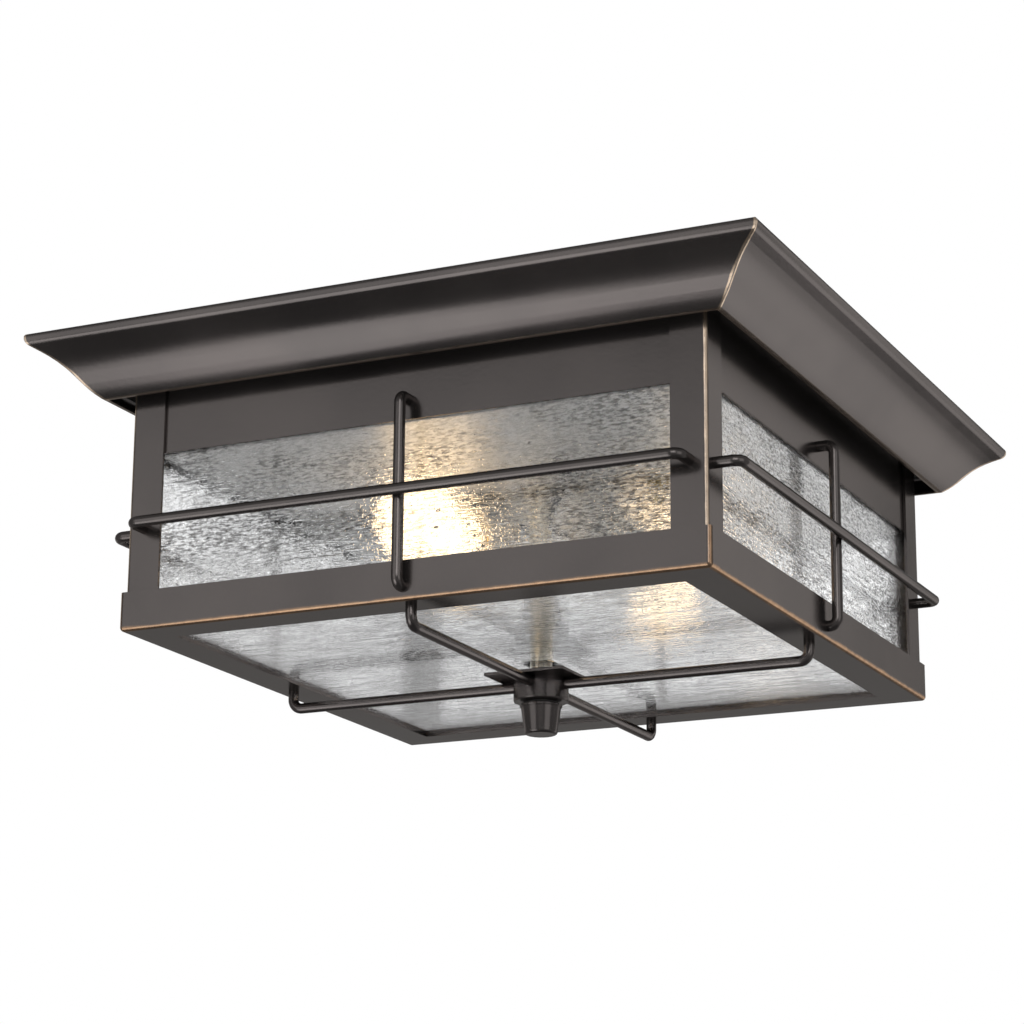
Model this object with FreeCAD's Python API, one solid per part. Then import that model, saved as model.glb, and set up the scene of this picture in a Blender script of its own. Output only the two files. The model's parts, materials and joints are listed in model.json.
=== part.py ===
import FreeCAD, Part
import math
import os

Vec = FreeCAD.Vector

# Square flush-mount ceiling light for a porch, in millimetres.
# The origin is the middle of the ceiling plane and the light hangs down from it, along -Z.

# Cage: four corner posts, four top rails and a bottom tray
CAGE_WIDTH = 252.0  # across the outer faces of the corner posts
SHEET = 1.2  # posts and rails
POST_LEG = 15.0
POST_BEND = 1.6  # outside radius of the bend along each post
RAIL_SHOWN = 22.8  # height of a rail that shows below the canopy
WINDOW_HEIGHT = 57.6  # from the rail's lower edge to the tray
TRAY_HEIGHT = 16.0
TRAY_SHEET = 1.5
TRAY_FLANGE = 17.1  # width of the tray's floor, from its outer face
TRAY_BEND = 1.8  # outside radius along the tray's edges
SHEET_FIT = 0.2  # room between sheets that stand inside one another
SEAT_GAP = 0.3  # room between the cage and the pan above it

# Panes
GLASS = 3.0
GLASS_LAP = 20.0  # how far a side pane runs up behind its rail
PANE_EDGE = 0.4  # radius of the ground edges
PANE_FIT = 0.4  # room between the bottom pane and the side panes
CLIP_SHEET = 0.6
CLIP_WIDTH = 9.0
CLIP_SEAM = 5.0  # length welded to the rail
CLIP_HOOK = 6.0  # length that hangs behind the pane
CLIP_BEND = 0.9
CLIP_SPREAD = 70.0  # from the middle of a side to each clip
CLIP_FIT = 0.2

# Guard of bent round wire
WIRE = 4.5
WIRE_BEND = 3.4  # centreline radius of the bends at the sides
UPRIGHT_OFF = 5.6  # from the posts' outer face to the upright's centreline
UPRIGHT_ABOVE = 8.1  # from the rail's lower edge up to the upright's top leg
UPRIGHT_BELOW = 5.7  # from the tray's underside up to its bottom leg
GUARD_BAR_DROP = 2.6  # from the middle of the window down to the guard bars
WIRE_FIT = 0.1
ARM_DROP = 7.7  # from the tray's underside to the arms' centreline
ARM_BEND = 4.2

# Hub under the bottom pane, and the knob that holds the cage up
HUB_PLATE = 36.0
HUB_PLATE_SHEET = 1.2
CUP_RADIUS = 11.6
CUP_WALL = 2.0
CUP_FLOOR = 1.8
CUP_HEIGHT = 9.4
CUP_EDGE = 0.7
WASHER = 0.8
KNOB_RADIUS = 8.6
KNOB_FOOT_RADIUS = 6.9
KNOB_HEIGHT = 12.8
KNOB_BEAD = 1.4  # height of the plain band at the knob's top
KNOB_BEAD_PROUD = 0.35
KNOB_BEAD_ROUND = 0.45
KNOB_ROUND = 1.3
KNOB_GRIP = 7.0  # length of nipple inside the knob
KNOB_END_ROOM = 1.4  # depth left in the knob past the nipple's end
KNOB_GAP = 0.1
THREAD_FIT = 0.05

# Canopy: a crown moulding bent from sheet and mitred at its corners
CROWN_SHEET = 1.0
CROWN_OVERHANG = 33.0  # from the posts' outer face to the rim
RIM_FLANGE = 8.0
RIM_BEND = 1.4
RIM_BAND = 0.4
RIM_EDGE_RADIUS = 3.6
RIM_EDGE_TURN = 60.0
WAIST_RUN = 3.5
COVE_RADIUS = 37.0
COVE_TURN = 20.0
SLOPE_RUN = 5.2
ROLL_RADIUS = 30.0
ROLL_TURN = 14.0
LIP_RADIUS = 2.0
LIP_RUN = 1.0

# Pan that closes the canopy: its well stands inside the cage, centres it and carries the lampholders
PAN_SHEET = 1.2
PAN_LIP = 6.0
PAN_BEND = 1.3
PAN_FIT = 0.2
WELL_ABOVE = 0.8  # from the rails' lower edges up to the well's underside
WELL_FIT = 1.0  # room between the well and the pane clips

# Ceiling bar, studs and centre nipple
BAR_LENGTH = 124.0
BAR_WIDTH = 19.0
BAR_SHEET = 2.0
BAR_CORNER = 5.5
SLOT_SPACING = 79.4
SLOT_LENGTH = 14.2
SLOT_RADIUS = 2.35
STUD_SPACING = 108.0
STUD_RADIUS = 2.08
HOLE_ROOM = 0.3  # clearance of a plain hole round a screw
CAP_NUT_FLATS = 9.5
CAP_NUT_HEIGHT = 5.0
CAP_NUT_DOME = 4.3
STUD_GRIP = 4.2  # length of stud inside its cap nut
NIPPLE_RADIUS = 4.85
NIPPLE_BORE = 3.2
NUT_FLATS = 15.0
NUT_HEIGHT = 4.0
LOCK_WASHER = 1.0
LOCK_WASHER_RADIUS = 8.2
NIPPLE_ABOVE_NUT = 1.2
NIPPLE_ROOM = 0.5  # clearance of the cage's holes round the nipple
GROUND_X = 24.0
GROUND_RADIUS = 2.0
GROUND_FLATS = 9.0
GROUND_HEAD_HEIGHT = 2.2

# Bulbs, along their own axis from the contact at the tip
BULB_SIDE = 28.0  # from the light's middle to each bulb's axis
BULB_DROP = 22.7  # from the pan's underside to the bulb's axis
GLOBE_OFF = 61.5  # from the light's middle, along the bulb, to its globe's middle
GLOBE_RADIUS = 17.0
GLOBE_CENTRE = 62.0  # from the tip
GLOBE_WALL = 0.8
NECK_RADIUS = 12.9
NECK_START = 26.0
BASE_RADIUS = 12.3
BASE_WALL = 0.7
BASE_START = 6.2
RIDGE_START = 8.6
RIDGE_PITCH = 3.63
RIDGE_COUNT = 5
RIDGE_RADIUS = 0.9
RIDGE_SUNK = 0.2
TIP_BUTTON = 4.5
TIP_BUTTON_HEIGHT = 1.5
TIP_PLUG = 8.0
TIP_FIT = 0.3

# Lampholders and their brackets
HOLDER_RADIUS = 17.0
HOLDER_MOUTH = 23.0
HOLDER_LIP_ROUND = 0.6
HOLDER_BACK = 6.0  # from the bulb's tip to the holder's back face
HOLDER_BACK_WALL = 4.0
SHELL_ROOM = 0.25  # between the bulb's ridges and the screw shell
SHELL_WALL = 0.6
SHELL_FIT = 0.3
SHELL_START = 1.0
CONTACT_SHEET = 0.5
CONTACT_WIDTH = 6.0
CONTACT_BEND = 5.0
CONTACT_LIFT = 15.0
CONTACT_FOOT = 4.0
CONTACT_RAMP = 3.0
BRACKET_SHEET = 1.5
BRACKET_WIDTH = 18.0
BRACKET_BELOW = 9.0  # below the bulb's axis
BRACKET_FOOT = 16.0
BRACKET_BEND = 2.5
RIVET_RADIUS = 1.6
RIVET_HEAD = 3.0
RIVET_HEAD_HEIGHT = 1.0
RIVET_SPREAD = 5.0
HOLDER_SCREW = 1.9
HOLDER_SCREW_HEAD = 3.6
HOLDER_SCREW_HEIGHT = 2.0
HOLDER_SCREW_DEPTH = 2.6

# Leads inside the canopy
LEAD_RADIUS = 1.3
LEAD_SPREAD = 10.8  # from the holder's axis to each lead at its back
LEAD_PAIR = 1.8  # from the bushing's axis to each lead
LEAD_RUN = 26.0  # from the holder's back to the bushing's axis
LEAD_BEND = 10.0
LEAD_TURN = 66.0  # from the light's middle to where a lead turns back to its connector
LEAD_TURN_BEND = 7.5
LEAD_RISE_BEND = 4.6
LEAD_JOIN = 1.5  # from the connector's axis to each lead
LEAD_CROSS = 16.7  # height at which the pair draws together
BUSHING_BORE = 4.2
BUSHING_WALL = 1.2
BUSHING_FLANGE = 1.8
BUSHING_LIP = 1.2
BUSHING_FIT = 0.1
CONNECTOR_MOUTH = 5.0
CONNECTOR_TIP = 3.2
CONNECTOR_LENGTH = 22.0
CONNECTOR_ROUND = 1.0
CONNECTOR_OFF = 50.0  # from the nipple's axis to a connector's mouth
CONNECTOR_REST = 0.2

SIDES = ("right", "back", "left", "front")
CORNERS = ("back_right", "back_left", "front_left", "front_right")
UP = Vec(0, 0, 1)
ORIGIN = Vec(0, 0, 0)


def box(x0, x1, y0, y1, z0, z1):
    return Part.makeBox(x1 - x0, y1 - y0, z1 - z0, Vec(x0, y0, z0))


def round_post(radius, z0, z1, x=0.0, y=0.0):
    return Part.makeCylinder(radius, z1 - z0, Vec(x, y, z0))


def hex_post(flats, z0, z1, x=0.0, y=0.0):
    corner = flats / math.sqrt(3)
    turns = [math.radians(60 * k) for k in range(7)]
    ring = [Vec(x + corner * math.cos(t), y + corner * math.sin(t), z0) for t in turns]
    return Part.Face(Part.makePolygon(ring)).extrude(Vec(0, 0, z1 - z0))


def quarter(shape, turns):
    copy = shape.copy()
    copy.rotate(ORIGIN, UP, 90 * turns)
    return copy


def pair(shape):
    return [shape, quarter(shape, 2)]


def upright_plane(across, height):
    return Vec(across, 0, height)


def lengthwise_plane(along, height):
    return Vec(0, along, height)


def flat_plane(x, y):
    return Vec(x, y, 0)


def strip_side(start, heading, moves, inset, to_point):
    """Edges of one side of a bent strip: the drawn line, moved to its right by inset."""
    angle = math.radians(heading)
    x = start[0] + inset * math.sin(angle)
    y = start[1] - inset * math.cos(angle)
    edges = []
    ends = [(x, y)]
    for radius, amount in moves:
        if radius == 0:
            end = (x + amount * math.cos(angle), y + amount * math.sin(angle))
            edges.append(Part.LineSegment(to_point(x, y), to_point(*end)).toShape())
        else:
            hand = math.copysign(1, amount)
            arm = hand * (radius - hand * inset)
            middle_x = x + arm * math.sin(angle)
            middle_y = y - arm * math.cos(angle)
            half = angle - math.radians(amount) / 2
            angle = angle - math.radians(amount)
            via = (middle_x - arm * math.sin(half), middle_y + arm * math.cos(half))
            end = (middle_x - arm * math.sin(angle), middle_y + arm * math.cos(angle))
            edges.append(Part.Arc(to_point(x, y), to_point(*via), to_point(*end)).toShape())
        x, y = end
        ends.append(end)
    return edges, ends


def strip(start, heading, moves, thickness, to_point=upright_plane):
    """Face of a bent strip. A move is (0, length), or (radius, degrees) with right turns positive."""
    outer, outer_ends = strip_side(start, heading, moves, 0.0, to_point)
    inner, inner_ends = strip_side(start, heading, moves, thickness, to_point)
    caps = []
    for one, other in ((outer_ends[0], inner_ends[0]), (outer_ends[-1], inner_ends[-1])):
        caps.append(Part.LineSegment(to_point(*one), to_point(*other)).toShape())
    loop = Part.sortEdges(outer + inner + caps)[0]
    return Part.Face(Part.Wire(loop))


def spun(outline):
    """Solid of revolution about Z of an outline of (radius, height) points."""
    points = [upright_plane(*p) for p in outline + outline[:1]]
    return Part.Face(Part.makePolygon(points)).revolve(ORIGIN, UP, 360)


def mitred_frame(profile):
    """Square frame of one profile, drawn at +X, with its corners mitred."""
    bounds = profile.BoundBox
    reach = 2 * bounds.XMax
    corners = [(0, 0), (reach, -reach), (reach, reach), (0, 0)]
    floor = Part.Face(Part.makePolygon([Vec(x, y, bounds.ZMin - reach) for x, y in corners]))
    wedge = floor.extrude(Vec(0, 0, bounds.ZLength + 2 * reach))
    run = profile.extrude(Vec(0, 2 * reach, 0))
    run.translate(Vec(0, -reach, 0))
    side = run.common(wedge)
    return side.fuse([quarter(side, k) for k in (1, 2, 3)]).removeSplitter()


def open_box(half, z0, z1, sheet, bend):
    """Square sheet box with its top open and its other edges bent round."""
    outer = box(-half, half, -half, half, z0, z1)
    outer = outer.makeFillet(bend, [e for e in outer.Edges if e.BoundBox.ZMin < z1 - sheet])
    inside = half - sheet
    room = box(-inside, inside, -inside, inside, z0 + sheet, z1 + bend)
    room = room.makeFillet(bend - sheet, [e for e in room.Edges if e.BoundBox.ZMin < z1])
    return outer.cut(room)


def bent_wire(points, bends, radius):
    """Round wire through the points, with each corner bent to its centreline radius."""
    edges = []
    start = points[0]
    for before, corner, after, bend in zip(points, points[1:], points[2:], bends):
        back = (before - corner).normalize()
        on = (after - corner).normalize()
        half_turn = (math.pi - back.getAngle(on)) / 2
        reach = bend * math.tan(half_turn)
        inside = (back + on).normalize() * (bend / math.cos(half_turn) - bend)
        enter = corner + back * reach
        leave = corner + on * reach
        edges.append(Part.LineSegment(start, enter).toShape())
        edges.append(Part.Arc(enter, corner + inside, leave).toShape())
        start = leave
    edges.append(Part.LineSegment(start, points[-1]).toShape())
    section = Part.Wire(Part.makeCircle(radius, points[0], points[1] - points[0]))
    return Part.Wire(edges).makePipeShell([section], True, False)


def pane(x0, x1, y0, y1, z0, z1):
    blank = box(x0, x1, y0, y1, z0, z1)
    return blank.makeFillet(PANE_EDGE, blank.Edges)


# Levels and half widths that the pieces share
post_face = CAGE_WIDTH / 2
rim_face = post_face + CROWN_OVERHANG
crown_start = (rim_face - RIM_FLANGE, 0.0)
crown_moves = [
    (0, RIM_FLANGE - RIM_BEND),
    (RIM_BEND, 90),
    (0, RIM_BAND),
    (RIM_EDGE_RADIUS, RIM_EDGE_TURN),
    (0, WAIST_RUN),
    (COVE_RADIUS, -COVE_TURN),
    (0, SLOPE_RUN),
    (ROLL_RADIUS, ROLL_TURN),
    (LIP_RADIUS, 90 - RIM_EDGE_TURN + COVE_TURN - ROLL_TURN),
    (0, LIP_RUN),
]
slope_index = 6
crown_ends = strip_side(crown_start, 0, crown_moves, 0.0, upright_plane)[1]
crown_inner = strip_side(crown_start, 0, crown_moves, CROWN_SHEET, upright_plane)[1]
crown_bottom = crown_ends[-1][1]
pan_half = crown_inner[slope_index][0] - PAN_FIT
pan_seat = crown_inner[slope_index][1]

cage_top = pan_seat - SEAT_GAP
rail_bottom = crown_bottom - RAIL_SHOWN
tray_top = rail_bottom - WINDOW_HEIGHT
tray_bottom = tray_top - TRAY_HEIGHT
tray_floor = tray_bottom + TRAY_SHEET
tray_face = post_face + SHEET_FIT + TRAY_SHEET
tray_inside = tray_face - TRAY_FLANGE
rail_face = post_face - SHEET - SHEET_FIT
pane_face = rail_face - SHEET - SHEET_FIT
pane_back = pane_face - GLASS
pane_top = rail_bottom + GLASS_LAP
post_middle = post_face - POST_LEG / 2
well_half = pane_back - CLIP_FIT - CLIP_SHEET - WELL_FIT
pan_bottom = rail_bottom + WELL_ABOVE
pan_top = pan_bottom + PAN_SHEET

wire_radius = WIRE / 2
arm_level = tray_bottom - ARM_DROP
arm_end = (tray_face + tray_inside) / 2
plate_bottom = arm_level + wire_radius + WIRE_FIT / 2
cup_bottom = plate_bottom - CUP_HEIGHT
cup_inside = CUP_RADIUS - CUP_WALL
nipple_hole = NIPPLE_RADIUS + NIPPLE_ROOM
arm_start = nipple_hole + wire_radius / 2
washer_top = cup_bottom - KNOB_GAP
knob_top = washer_top - WASHER - KNOB_GAP
nipple_end = knob_top - KNOB_GRIP
nipple_start = pan_top + NUT_HEIGHT + NIPPLE_ABOVE_NUT

bulb_axis = pan_bottom - BULB_DROP
bulb_tip_row = GLOBE_CENTRE - GLOBE_OFF
holder_back = bulb_tip_row + HOLDER_BACK
ridge_crest = BASE_RADIUS - RIDGE_SUNK + RIDGE_RADIUS
shell_bore = ridge_crest + SHELL_ROOM
holder_bore = shell_bore + SHELL_WALL + SHELL_FIT
rivet_row = holder_back + BRACKET_SHEET + BRACKET_FOOT / 2
rivet_hole = RIVET_RADIUS + BUSHING_FIT
bushing_row = holder_back + LEAD_RUN
bushing_hole = BUSHING_BORE + BUSHING_WALL + BUSHING_FIT
lead_level = pan_top + CONNECTOR_REST + CONNECTOR_MOUTH


def crown_canopy():
    return mitred_frame(strip(crown_start, 0, crown_moves, CROWN_SHEET))


def lamp_pan():
    room = well_half - PAN_SHEET
    pan = open_box(pan_half, pan_seat, pan_seat + PAN_LIP, PAN_SHEET, PAN_BEND)
    pan = pan.cut(box(-room, room, -room, room, pan_seat, pan_seat + PAN_SHEET))
    well = open_box(well_half, pan_bottom, pan_seat + PAN_SHEET, PAN_SHEET, PAN_BEND)
    pan = pan.fuse(well).removeSplitter()
    holes = [round_post(NIPPLE_RADIUS + HOLE_ROOM, pan_bottom, pan_top)]
    holes += pair(round_post(STUD_RADIUS + HOLE_ROOM, pan_bottom, pan_top, STUD_SPACING / 2))
    holes += pair(round_post(bushing_hole, pan_bottom, pan_top, -BULB_SIDE, bushing_row))
    for side in (-RIVET_SPREAD, RIVET_SPREAD):
        holes += pair(round_post(rivet_hole, pan_bottom, pan_top, side - BULB_SIDE, rivet_row))
    return pan.cut(holes)


def mounting_bar():
    end = BAR_LENGTH / 2
    side = BAR_WIDTH / 2
    bar = box(-end, end, -side, side, -BAR_SHEET, 0)
    bar = bar.makeFillet(BAR_CORNER, [e for e in bar.Edges if e.BoundBox.ZLength > BAR_SHEET / 2])
    middle = SLOT_SPACING / 2
    reach = SLOT_LENGTH / 2 - SLOT_RADIUS
    slot = box(middle - reach, middle + reach, -SLOT_RADIUS, SLOT_RADIUS, -BAR_SHEET, 0)
    ends = [round_post(SLOT_RADIUS, -BAR_SHEET, 0, middle + s * reach) for s in (-1, 1)]
    slot = slot.fuse(ends).removeSplitter()
    holes = pair(slot)
    holes += pair(round_post(STUD_RADIUS + THREAD_FIT, -BAR_SHEET, 0, STUD_SPACING / 2))
    holes.append(round_post(NIPPLE_RADIUS + HOLE_ROOM, -BAR_SHEET, 0))
    holes.append(round_post(GROUND_RADIUS + THREAD_FIT, -BAR_SHEET, 0, GROUND_X))
    return bar.cut(holes)


def mounting_studs():
    return pair(round_post(STUD_RADIUS, pan_bottom - STUD_GRIP, 0, STUD_SPACING / 2))


def cap_nuts():
    x = STUD_SPACING / 2
    low = pan_bottom - CAP_NUT_HEIGHT
    dome = Part.makeSphere(CAP_NUT_DOME, Vec(x, 0, low))
    nut = hex_post(CAP_NUT_FLATS, low, pan_bottom, x).fuse(dome)
    bore = round_post(STUD_RADIUS + THREAD_FIT, pan_bottom - STUD_GRIP - HOLE_ROOM, pan_bottom, x)
    return pair(nut.cut(bore))


def ground_screw():
    under = -BAR_SHEET - SHEET_FIT
    head = hex_post(GROUND_FLATS, under - GROUND_HEAD_HEIGHT, under, GROUND_X)
    shank = round_post(GROUND_RADIUS, under, 0, GROUND_X)
    return [head.fuse(shank).removeSplitter()]


def centre_nipple():
    tube = round_post(NIPPLE_RADIUS, nipple_end, nipple_start)
    return [tube.cut(round_post(NIPPLE_BORE, nipple_end, nipple_start))]


def nipple_nuts():
    low = pan_bottom - LOCK_WASHER
    bore = round_post(NIPPLE_RADIUS + THREAD_FIT, low - NUT_HEIGHT, pan_top + NUT_HEIGHT)
    nuts = [hex_post(NUT_FLATS, pan_top, pan_top + NUT_HEIGHT), hex_post(NUT_FLATS, low - NUT_HEIGHT, low)]
    return [nut.cut(bore) for nut in nuts]


def nipple_washer():
    low = pan_bottom - LOCK_WASHER
    disc = round_post(LOCK_WASHER_RADIUS, low, pan_bottom)
    return [disc.cut(round_post(NIPPLE_RADIUS + HOLE_ROOM, low, pan_bottom))]


def at_bulb(shape):
    """A piece drawn along +Z from the bulb's tip, laid along -Y at the first bulb's place."""
    tip = Vec(-BULB_SIDE, bulb_tip_row, bulb_axis)
    shape.Placement = FreeCAD.Placement(tip, FreeCAD.Rotation(UP, Vec(0, -1, 0)))
    return shape


def bulb_tip():
    plug = BASE_RADIUS - BASE_WALL - TIP_FIT
    outline = [(0, 0), (TIP_BUTTON, 0), (TIP_BUTTON, TIP_BUTTON_HEIGHT)]
    outline += [(plug, BASE_START), (plug, TIP_PLUG), (0, TIP_PLUG)]
    return at_bulb(spun(outline))


def bulb_base():
    shell = round_post(BASE_RADIUS, BASE_START, NECK_START)
    ridges = []
    for k in range(RIDGE_COUNT):
        level = Vec(0, 0, RIDGE_START + k * RIDGE_PITCH)
        ridges.append(Part.makeTorus(BASE_RADIUS - RIDGE_SUNK, RIDGE_RADIUS, level))
    bore = round_post(BASE_RADIUS - BASE_WALL, BASE_START, NECK_START)
    return at_bulb(shell.fuse(ridges).cut(bore))


def bulb_globe():
    """Thin glass: the neck flares in one hollow bend that runs smoothly into the globe."""
    rise = GLOBE_CENTRE - NECK_START
    bend = (NECK_RADIUS ** 2 + rise ** 2 - GLOBE_RADIUS ** 2) / (2 * (GLOBE_RADIUS - NECK_RADIUS))
    flare = math.degrees(math.asin(rise / (bend + GLOBE_RADIUS)))
    moves = [(bend, flare), (GLOBE_RADIUS, -90 - flare)]
    skin = strip((NECK_RADIUS, NECK_START), 90, moves, -GLOBE_WALL)
    return at_bulb(skin.revolve(ORIGIN, UP, 360))


def lampholder():
    floor = HOLDER_BACK_WALL - HOLDER_BACK
    cup = round_post(HOLDER_RADIUS, -HOLDER_BACK, HOLDER_MOUTH)
    room = round_post(holder_bore, floor, HOLDER_MOUTH)
    screw = round_post(HOLDER_SCREW + THREAD_FIT, -HOLDER_BACK, HOLDER_SCREW_DEPTH - HOLDER_BACK + HOLE_ROOM)
    cup = cup.cut([room, screw])
    mouth = [e for e in cup.Edges if abs(e.BoundBox.ZMin - HOLDER_MOUTH) < THREAD_FIT]
    return at_bulb(cup.makeFillet(HOLDER_LIP_ROUND, mouth))


def screw_shell():
    tube = round_post(shell_bore + SHELL_WALL, SHELL_START, HOLDER_MOUTH - SHELL_WALL)
    return at_bulb(tube.cut(round_post(shell_bore, SHELL_START, HOLDER_MOUTH)))


def centre_contact():
    floor = HOLDER_BACK_WALL - HOLDER_BACK
    start = (-CONTACT_FOOT - CONTACT_RAMP, floor + CONTACT_SHEET)
    moves = [(0, CONTACT_FOOT), (CONTACT_BEND, -CONTACT_LIFT), (0, CONTACT_RAMP)]
    moves += [(CONTACT_BEND, CONTACT_LIFT), (0, CONTACT_FOOT)]
    tongue = strip(start, 0, moves, CONTACT_SHEET).extrude(Vec(0, CONTACT_WIDTH, 0))
    tongue.translate(Vec(0, -CONTACT_WIDTH / 2, 0))
    return at_bulb(tongue)


def lampholder_bracket():
    low = bulb_axis - BRACKET_BELOW
    moves = [(0, pan_bottom - low - BRACKET_BEND), (BRACKET_BEND, 90), (0, BRACKET_FOOT)]
    side_view = strip((holder_back, low), 90, moves, BRACKET_SHEET, lengthwise_plane)
    leaf = side_view.extrude(Vec(BRACKET_WIDTH, 0, 0))
    leaf.translate(Vec(-BULB_SIDE - BRACKET_WIDTH / 2, 0, 0))
    back = Vec(-BULB_SIDE, holder_back, bulb_axis)
    holes = [Part.makeCylinder(HOLDER_SCREW + BUSHING_FIT, BRACKET_SHEET, back, Vec(0, 1, 0))]
    low_foot = pan_bottom - BRACKET_SHEET
    for side in (-RIVET_SPREAD, RIVET_SPREAD):
        holes.append(round_post(rivet_hole, low_foot, pan_bottom, side - BULB_SIDE, rivet_row))
    return leaf.cut(holes)


def bracket_rivets():
    rivets = []
    low = pan_bottom - BRACKET_SHEET
    for side in (-RIVET_SPREAD, RIVET_SPREAD):
        x = side - BULB_SIDE
        shank = round_post(RIVET_RADIUS, low, pan_top, x, rivet_row)
        heads = [round_post(RIVET_HEAD, low - RIVET_HEAD_HEIGHT, low, x, rivet_row)]
        heads.append(round_post(RIVET_HEAD, pan_top, pan_top + RIVET_HEAD_HEIGHT, x, rivet_row))
        rivets += pair(shank.fuse(heads).removeSplitter())
    return rivets


def lampholder_screws():
    middle = Vec(-BULB_SIDE, holder_back + BRACKET_SHEET, bulb_axis)
    head = Part.makeCylinder(HOLDER_SCREW_HEAD, HOLDER_SCREW_HEIGHT, middle, Vec(0, 1, 0))
    length = BRACKET_SHEET + HOLDER_SCREW_DEPTH
    shank = Part.makeCylinder(HOLDER_SCREW, length, middle, Vec(0, -1, 0))
    return pair(head.fuse(shank).removeSplitter())


def lead_bushings():
    low = pan_bottom - BUSHING_LIP
    high = pan_top + BUSHING_LIP
    body = BUSHING_BORE + BUSHING_WALL
    flange = bushing_hole + BUSHING_FLANGE
    ring = round_post(body, low, high)
    ring = ring.fuse([round_post(flange, low, pan_bottom), round_post(flange, pan_top, high)])
    ring = ring.removeSplitter().cut(round_post(BUSHING_BORE, low, high))
    ring.translate(Vec(-BULB_SIDE, bushing_row, 0))
    return pair(ring)


def lead(side):
    """Lead from the first lampholder: side +1 ends at the near connector, -1 at the far one."""
    y = bushing_row + side * LEAD_PAIR
    out_x = side * LEAD_SPREAD - BULB_SIDE
    points = [Vec(out_x, holder_back, bulb_axis), Vec(out_x, y, bulb_axis)]
    points.append(Vec(-BULB_SIDE, y, bulb_axis + LEAD_CROSS))
    points.append(Vec(-BULB_SIDE, y, lead_level))
    points.append(Vec(-BULB_SIDE, side * LEAD_TURN, lead_level))
    points.append(Vec(-LEAD_JOIN, side * LEAD_TURN, lead_level))
    points.append(Vec(-LEAD_JOIN, side * CONNECTOR_OFF, lead_level))
    bends = [LEAD_BEND, LEAD_BEND, LEAD_RISE_BEND, LEAD_TURN_BEND, LEAD_TURN_BEND]
    return bent_wire(points, bends, LEAD_RADIUS)


def wire_connectors():
    mouth = Vec(0, -CONNECTOR_OFF, lead_level)
    cap = Part.makeCone(CONNECTOR_MOUTH, CONNECTOR_TIP, CONNECTOR_LENGTH, mouth, Vec(0, 1, 0))
    tip = [e for e in cap.Edges if e.BoundBox.YMin > CONNECTOR_LENGTH / 2 - CONNECTOR_OFF]
    return pair(cap.makeFillet(CONNECTOR_ROUND, tip))


def corner_post():
    flat = POST_LEG - POST_BEND
    moves = [(0, flat), (POST_BEND, -90), (0, flat)]
    angle = strip((post_face, post_face - POST_LEG), 90, moves, -SHEET, flat_plane)
    low = tray_floor + SHEET_FIT
    post = angle.extrude(Vec(0, 0, cage_top - low))
    post.translate(Vec(0, 0, low))
    return post


def top_rail():
    end = rail_face - SHEET - SHEET_FIT
    return box(rail_face - SHEET, rail_face, -end, end, rail_bottom, cage_top)


def bottom_tray():
    tray = open_box(tray_face, tray_bottom, tray_top, TRAY_SHEET, TRAY_BEND)
    return tray.cut(box(-tray_inside, tray_inside, -tray_inside, tray_inside, tray_bottom, tray_top))


def side_glass():
    end = pane_back - PANE_FIT
    return pane(pane_back, pane_face, -end, end, tray_floor + SHEET_FIT, pane_top)


def bottom_glass():
    half = pane_back - PANE_FIT
    plate = pane(-half, half, -half, half, tray_floor, tray_floor + GLASS)
    return plate.cut(round_post(nipple_hole, tray_floor, tray_floor + GLASS))


def glass_clips():
    """Bent clips welded inside each rail that hook over the panes' top edges."""
    over = pane_top + CLIP_FIT + CLIP_SHEET
    wall = rail_face - SHEET
    across = wall - pane_back + CLIP_FIT
    inner_bend = CLIP_BEND + CLIP_SHEET
    moves = [(0, CLIP_SEAM), (CLIP_BEND, 90), (0, across - CLIP_BEND - inner_bend + CLIP_SHEET)]
    moves += [(inner_bend, -90), (0, CLIP_HOOK - inner_bend)]
    start = (wall - CLIP_SHEET, over + CLIP_BEND + CLIP_SEAM)
    hook = strip(start, -90, moves, -CLIP_SHEET).extrude(Vec(0, CLIP_WIDTH, 0))
    hook.translate(Vec(0, CLIP_SPREAD - CLIP_WIDTH / 2, 0))
    clips = []
    for k in range(4):
        clips.append(quarter(hook, k))
        clips.append(quarter(hook.mirror(ORIGIN, Vec(0, 1, 0)), k))
    return clips


def guard_upright():
    off = post_face + UPRIGHT_OFF
    high = rail_bottom + UPRIGHT_ABOVE
    low = tray_bottom + UPRIGHT_BELOW
    points = [Vec(rail_face, 0, high), Vec(off, 0, high), Vec(off, 0, low), Vec(tray_face, 0, low)]
    return bent_wire(points, [WIRE_BEND, WIRE_BEND], wire_radius)


def guard_bar():
    off = post_face + UPRIGHT_OFF + WIRE + WIRE_FIT
    level = (rail_bottom + tray_top) / 2 - GUARD_BAR_DROP
    ends = (-post_middle, post_middle)
    points = [Vec(post_face, ends[0], level), Vec(off, ends[0], level)]
    points += [Vec(off, ends[1], level), Vec(post_face, ends[1], level)]
    return bent_wire(points, [WIRE_BEND, WIRE_BEND], wire_radius)


def guard_arm():
    points = [Vec(arm_start, 0, arm_level), Vec(arm_end, 0, arm_level), Vec(arm_end, 0, tray_bottom)]
    return bent_wire(points, [ARM_BEND], wire_radius)


def hub_plate():
    half = HUB_PLATE / 2
    plate = box(-half, half, -half, half, plate_bottom, plate_bottom + HUB_PLATE_SHEET)
    return [plate.cut(round_post(nipple_hole, plate_bottom, plate_bottom + HUB_PLATE_SHEET))]


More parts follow.
